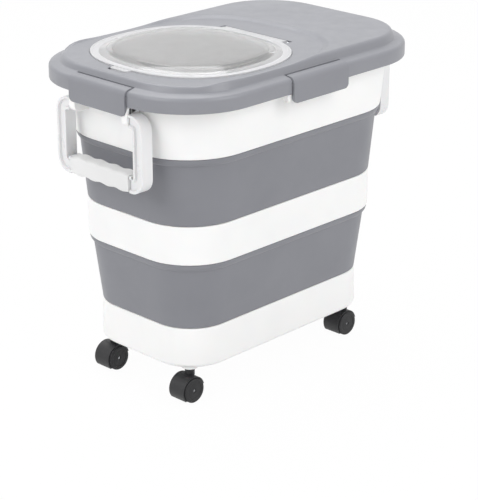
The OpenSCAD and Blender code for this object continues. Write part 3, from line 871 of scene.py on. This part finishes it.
def dome_stations(outside):
    """How far in and how high one skin of the dome stands, from its foot to near its crown."""
    if outside:
        top, foot = flange_top + DOME_RISE, FLANGE_W
        steps = [(FOOT_W, flange_top)]
        for i in range(SLOPE_STEPS + 1):
            rise = math.sin(math.pi * i / (2 * SLOPE_STEPS))
            steps.append((FOOT_W + 1 + SLOPE_W * i / SLOPE_STEPS,
                          flange_top + FOOT_H + (DOME_RISE - 1) * rise))
    else:
        top, foot = flange_top + DOME_RISE - DOME_WALL, FLANGE_W + DOME_WALL
        steps = [(foot, flange_top - DOME_WALL), (foot + 1.2, flange_top + FOOT_H - DOME_WALL)]
        for t in (math.radians(a) for a in range(10, 91, 10)):
            steps.append((foot + BOW_IN + BOW_W * (1 - math.cos(t)),
                          top - BOW_H * (1 - math.sin(t)) - BOW_DROP))
    return steps + [(foot + away, top - below) for away, below in CROWN]


def flip_lid():
    """Flange and dome as one clear shell, with the hinge strip and the finger tab."""
    bm = bmesh.new()
    bmesh.ops.create_circle(bm, segments=144, radius=FLIP_X)
    bmesh.ops.translate(bm, verts=bm.verts, vec=(-FLIP_SHIFT, 0, 0))
    place = flip_outline(FLANGE_W + DOME_WALL, FLANGE_Z)
    for vert in bm.verts:
        vert.co = place(vert.co)
    inner = list(bm.edges)
    lip_top = flange_top + LIP_H
    edge = [(0, FLANGE_Z), (0, lip_top), (LIP_W - LIP_SLOPE, lip_top), (LIP_W, flange_top)]
    for stations in (edge + dome_stations(True), dome_stations(False)):
        loop = inner
        for inset, height in stations:
            loop = pull(bm, loop, flip_outline(inset, height))
        bmesh.ops.contextual_create(bm, geom=loop)
    strip = box((HINGE_X - STRIP_W, -HINGE_HALF, FLANGE_Z), (HINGE_X, HINGE_HALF, flange_top))
    bm = combine(bm, strip, "UNION")
    tab = box((-TAB_X, -TAB_HALF, FLANGE_Z + TAB_INSET), (-TAB_X + TAB_W, TAB_HALF, flange_top - TAB_INSET))
    corners = [e for e in tab.edges if span(e, HEIGHT_AXIS) > 1 and e.verts[0].co.x < -TAB_X + 1]
    round_edges(tab, corners, TAB_ROUND, 5)
    bm = combine(bm, tab, "UNION")
    barrel = bar(HINGE_R, (HINGE_X, -HINGE_HALF, HINGE_Z), (HINGE_X, HINGE_HALF, HINGE_Z))
    return combine(bm, barrel, "UNION")


flip = finish_piece("flip_lid_shell", flip_lid(), clear_polystyrene, "flip", ["flip_lid"],
                    rounding=0.6, segments=2)

# %% [markdown]
# The frosted flange and the clear dome are one mesh with two materials. A face is frosted where it lies
# further out on its ray than the foot of the dome.

# %% Frosted flange
FROST_PAST_FOOT = 0.3

flip.data.materials.append(frosted_polystyrene)
on_dome = flip_outline(FOOT_W + FROST_PAST_FOOT, 0)
for face in flip.data.polygons:
    middle = face.center / MM
    foot = on_dome(middle)
    frosted = math.hypot(middle.x + FLIP_SHIFT, middle.y) > math.hypot(foot.x + FLIP_SHIFT, foot.y)
    face.material_index = 1 if frosted else 0

# %% [markdown]
# ## Latches
#
# A latch is a bent plate: the cap lies on the lid's ledge, the front hangs over the skirt, and a barrel
# under the cap turns on the pin. A bead near its lower edge snaps under the rim's catch. The section is
# extruded along the side, and bevelling the two short lower edges rounds the corners that a finger pulls on.

# %% Latches
LATCH_HALF = 47.0
LATCH_FACE = 96.0
LATCH_T = 3.0
LATCH_BACK = LATCH_FACE - LATCH_T
LATCH_LOW = rim - 22
LATCH_CAP = LEDGE_Z + 0.5
LATCH_ROUND = 6
CAP_R = 8
CAP_DROP = 8.5
CAP_IN = LATCH_AXIS_R - 2.5
CAP_T = 2.5
BARREL_R = 3.2
BARREL_PLAY = 0.05
RIB_END = 0.1
BEAD_FACE = CATCH_FACE + 0.3
BEAD_BITE = 0.5
BEAD_END = 8


def latch(side):
    """One latch, made for the right side and turned to its own."""
    out = SIDES[side][1]
    axis = out + LATCH_AXIS_R
    bm = bmesh.new()
    section = [(LATCH_BACK, LATCH_LOW), (LATCH_FACE, LATCH_LOW)]
    section += arc(LATCH_FACE - CAP_R, LATCH_CAP - CAP_DROP, CAP_R, 0, 80, 8)
    section += [(CAP_IN, LATCH_CAP), (CAP_IN, LATCH_CAP - CAP_T), (LATCH_BACK - 3, LATCH_CAP - 2 * CAP_T),
                (LATCH_BACK, LATCH_CAP - CAP_DROP)]
    add_slab(bm, [(out + r, -LATCH_HALF, z) for r, z in section], (0, 2 * LATCH_HALF, 0))
    lower = [e for e in bm.edges
             if all(v.co.z < LATCH_LOW + 0.1 for v in e.verts) and span(e, DEPTH_AXIS) < 0.1]
    round_edges(bm, lower, LATCH_ROUND, 6)
    barrel = bar(BARREL_R, (axis, -LATCH_HALF + BARREL_PLAY, LATCH_AXIS_Z),
                 (axis, LATCH_HALF - BARREL_PLAY, LATCH_AXIS_Z))
    bm = combine(bm, barrel, "UNION")
    rib = box((axis - 1.5, -LATCH_HALF + RIB_END, LATCH_AXIS_Z),
              (axis + 2, LATCH_HALF - RIB_END, LATCH_CAP - 1.5))
    bm = combine(bm, rib, "UNION")
    wedge = [(LATCH_BACK + BEAD_BITE, LATCH_LOW + 1), (BEAD_FACE, LATCH_LOW + 2.5),
             (BEAD_FACE, LATCH_LOW + 4.5), (LATCH_BACK + BEAD_BITE, LATCH_LOW + 6)]
    bead = bmesh.new()
    add_slab(bead, [(out + r, -LATCH_HALF + BEAD_END, z) for r, z in wedge],
             (0, 2 * (LATCH_HALF - BEAD_END), 0))
    bm = combine(bm, bead, "UNION")
    turned(bm, side)
    return bm


for side in SIDES:
    finish_piece(f"latch_{side}_plate", latch(side), latch_polypropylene, f"latch_{side}",
                 [f"latch_{side}"], rounding=0.5)

# %% [markdown]
# ## Handles
#
# Each bail handle is a channel bent into a square C: it leaves the pivot, turns down the arm and turns again
# under the grip. Its section is one loop of points, so each run is an extrusion and each bend is a spin. The
# bend below grows taller towards the grip, and mirroring the first half gives the second.

# %% Handles
HANDLE_HALF = 72.0
ARM_W = 15.0
ARM_D = 16.0
HANDLE_LOW = pivot_z - 84
BAR_H = 20.0
STUB_H = 8.0
STUB_IN = LUG_OUT + 0.5
PIVOT_R = 4.0
BEND = 18.0
BEND_STEPS = 10
GROOVE_EDGE = 2.6
GROOVE_SLOPE = 0.8
GROOVE_DEPTH = 3.0
# The bar inside the grip is this much slimmer at each side and at its top and bottom
CORE_SIDE = 3.5
CORE_TOP = 3


def channel_section():
    """The channel's section, as (sideways, downwards) from its upper edge."""
    half = ARM_D / 2
    floor = half - GROOVE_DEPTH
    groove = (GROOVE_EDGE, GROOVE_EDGE + GROOVE_SLOPE, ARM_W - GROOVE_EDGE - GROOVE_SLOPE,
              ARM_W - GROOVE_EDGE)
    return [(-half, 0), (half, 0), (half, groove[0]), (floor, groove[1]), (floor, groove[2]),
            (half, groove[3]), (half, ARM_W), (-half, ARM_W)]


def swell(co, bend_y, bend_z):
    """Moves a point of the lower bend, so that the channel grows from the arm's width to the bar's."""
    turn = min(math.atan2(bend_z - co.z, max(co.y - bend_y, 0)) / (math.pi / 2), 1)
    centre = Vector((co.x, min(co.y, bend_y), bend_z))
    out = (co - centre).normalized()
    return co + out * -(BEND - (co - centre).length) * turn * (BAR_H / ARM_W - 1)


def handle(side):
    """Two halves of a channel, the slim bar that the grip wraps, and the two pivot pins."""
    bm = bmesh.new()
    top = pivot_z + STUB_H
    loop = [bm.verts.new((pivot_x + x, STUB_IN, top - down)) for x, down in channel_section()]
    edges = [bm.edges.new(pair) for pair in zip(loop, loop[1:] + loop[:1])]
    start = list(edges)
    bend_y = HANDLE_HALF - BEND
    bend_z = HANDLE_LOW + BEND
    runs = (((0, bend_y - STUB_IN, 0), top - BEND), ((0, 0, HANDLE_LOW + 2 * BEND - top), bend_z))
    for run, height in runs:
        edges = extrude(bm, edges, run)[1]
        edges = bend(bm, edges, (0, bend_y, height), (1, 0, 0), -math.pi / 2, BEND_STEPS)
    edges = extrude(bm, edges, (0, STUB_IN - bend_y, 0))[1]
    for ring in (start, edges):
        bmesh.ops.contextual_create(bm, geom=ring)
    bmesh.ops.remove_doubles(bm, verts=bm.verts, dist=SAME_PLACE)
    for vert in bm.verts:
        if vert.co.z < bend_z:
            vert.co = swell(vert.co, bend_y, bend_z)
    made = bmesh.ops.duplicate(bm, geom=list(bm.verts) + list(bm.edges) + list(bm.faces))["geom"]
    bmesh.ops.scale(bm, verts=[g for g in made if isinstance(g, BMVert)], vec=(1, -1, 1))
    core = ARM_D / 2 - CORE_SIDE
    add_box(bm, (pivot_x - core, -bend_y - 1, HANDLE_LOW + CORE_TOP),
            (pivot_x + core, bend_y + 1, HANDLE_LOW + BAR_H - CORE_TOP))
    for y in (-1, 1):
        add_bar(bm, PIVOT_R, (pivot_x, y * (STUB_IN + 1), pivot_z),
                (pivot_x, y * (STUB_IN - LUG_T + 1), pivot_z))
    turned(bm, side)
    return bm


for side in ("left", "right"):
    finish_piece(f"handle_{side}_frame", handle(side), handle_polypropylene,
                 f"handle_{side}", [f"handle_{side}"], rounding=0.8)

# %% [markdown]
# ## Grips
#
# A soft sleeve wraps the handle's bar, with four shallow waves for the fingers and fine ribs along its top.
# It starts as a rounded section that is extruded along the bar and cut into many rings, and each ring then
# moves up or down with the wave.

# %% Grips
GRIP_HALF = STUB_IN - 1
GRIP_RINGS = 96
GRIP_ROUND = 3.5
GRIP_T = 1
GRIP_UP = 0.5
WAVES = 4
WAVE_H = 0.8
RIBS = 5
RIB_PITCH = 2.0
# Each rib's height, and how far its foot and its top stand in from its pitch
RIB_H = 0.6
RIB_LOW = 0.2
RIB_HIGH = 0.6


def grip(side):
    """A sleeve whose lower and upper faces run in waves, with ribs along the upper one."""
    bm = bmesh.new()
    wide = ARM_D / 2 + GRIP_T - GRIP_ROUND
    tall = BAR_H / 2 + GRIP_T
    high = tall - GRIP_ROUND
    section = arc(wide, -high, GRIP_ROUND, -90, 0, 5) + arc(wide, high, GRIP_ROUND, 0, 90, 5)
    for i in range(RIBS):
        x = (RIBS / 2 - i) * RIB_PITCH
        section += [(x - RIB_LOW, tall - RIB_H), (x - RIB_HIGH, tall), (x - RIB_PITCH + RIB_HIGH, tall),
                    (x - RIB_PITCH + RIB_LOW, tall - RIB_H)]
    section += arc(-wide, high, GRIP_ROUND, 90, 180, 5) + arc(-wide, -high, GRIP_ROUND, 180, 270, 5)
    middle = HANDLE_LOW + BAR_H / 2 + GRIP_UP
    add_slab(bm, [(pivot_x + x, -GRIP_HALF, middle + z) for x, z in section], (0, 2 * GRIP_HALF, 0))
    lengthwise = [e for e in bm.edges if span(e, DEPTH_AXIS) > 1]
    bmesh.ops.subdivide_edges(bm, edges=lengthwise, cuts=GRIP_RINGS - 1, use_grid_fill=True)
    for vert in bm.verts:
        share = (vert.co.y + GRIP_HALF) / (2 * GRIP_HALF)
        wave = WAVE_H * math.cos(2 * math.pi * WAVES * share)
        vert.co.z += wave * (middle - vert.co.z) / tall
    turned(bm, side)
    return bm


for side in ("left", "right"):
    finish_piece(f"grip_{side}_sleeve", grip(side), grip_elastomer, f"handle_{side}",
                 [f"grip_{side}"])

# %% [markdown]
# ## Pins, seals and casters from the model
#
# The solids of the small turned and ground pieces already have their true curves, so they stay and only get
# their finish.

# %% Finishes of the pieces that stay
STAY = {"latch_pin": steel, "flip_hinge": steel, "caster_stem": steel, "caster_axle": steel,
        "lid_seal": seal_silicone, "flip_seal": seal_silicone, "caster_hood": black_nylon,
        "wheel": tread_nylon}

for name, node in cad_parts.items():
    for start, material in STAY.items():
        if name.startswith(start):
            node.data.materials.clear()
            node.data.materials.append(material)
            print(name, "gets", material.name)

# %% [markdown]
# ## Light and floor
#
# A pale studio: three wide soft boxes, on the left, in front and overhead, and an even glow from all round.
# The camera, and what shines or lets light through, see a white room instead of the glow.

# %% Lamps
LAMP_AIM = Vector((0, 0, 0.2))


def soft_box(name, place, size, power):
    """A large square lamp that faces the bin."""
    data = bpy.data.lights.new(name, "AREA")
    data.size = size
    data.energy = power
    lamp = add_object(name, data)
    lamp.location = place
    look_along(lamp, LAMP_AIM - lamp.location)


soft_box("left_soft_box", (-2.1, 0.2, 1.7), 1.4, 21)
soft_box("front_soft_box", (0.3, -2.2, 1.7), 1.4, 22)
soft_box("top_soft_box", (0.4, 0.9, 2.4), 1.8, 28)

# %% White room
WHITE = linear("#ffffff")
GLOW = 0.62


def sees_room(tree):
    """1 for the rays that see the room itself: from the camera, off a gloss or through a clear piece."""
    ray = add_node(tree, "ShaderNodeLightPath")
    most = {"operation": "MAXIMUM"}
    seen = add_node(tree, "ShaderNodeMath", most, {0: (ray, "Is Camera Ray"), 1: (ray, "Is Glossy Ray")})
    return add_node(tree, "ShaderNodeMath", most, {0: (seen, 0), 1: (ray, "Is Transmission Ray")})


world = bpy.data.worlds.new("studio")
bpy.context.scene.world = world
tree = empty_tree(world)
seen = sees_room(tree)
glow = add_node(tree, "ShaderNodeBackground", {"Color": WHITE, "Strength": GLOW})
white = add_node(tree, "ShaderNodeBackground", {"Color": WHITE, "Strength": 1.0})
room = add_node(tree, "ShaderNodeMixShader", links={0: (seen, 0), 1: (glow, 0), 2: (white, 0)})
add_node(tree, "ShaderNodeOutputWorld", links={"Surface": (room, 0)})

# %% [markdown]
# The floor is a sheet of paper that is nearly as white as the room to the same rays, so that its edge
# doesn't show, and that still takes a faint shadow where the wheels stand.

# %% Floor
FLOOR_HALF = 4
FLOOR_SHINE = 0.97

floor_bm = bmesh.new()
bmesh.ops.create_grid(floor_bm, x_segments=1, y_segments=1, size=FLOOR_HALF)
floor_mesh = bpy.data.meshes.new("floor")
floor_bm.to_mesh(floor_mesh)
floor_bm.free()
floor = add_object("floor", floor_mesh)
paper = bpy.data.materials.new("studio_paper")
tree = empty_tree(paper)
seen = sees_room(tree)
lit = add_node(tree, "ShaderNodeBsdfDiffuse", {"Color": linear("#f2f2f2")})
shining = add_node(tree, "ShaderNodeEmission", {"Color": WHITE, "Strength": 1.0})
share = add_node(tree, "ShaderNodeMath", {"operation": "MULTIPLY", 1: FLOOR_SHINE}, {0: (seen, 0)})
surface = add_node(tree, "ShaderNodeMixShader", links={0: (share, 0), 1: (lit, 0), 2: (shining, 0)})
add_node(tree, "ShaderNodeOutputMaterial", links={"Surface": (surface, 0)})
floor_mesh.materials.append(paper)
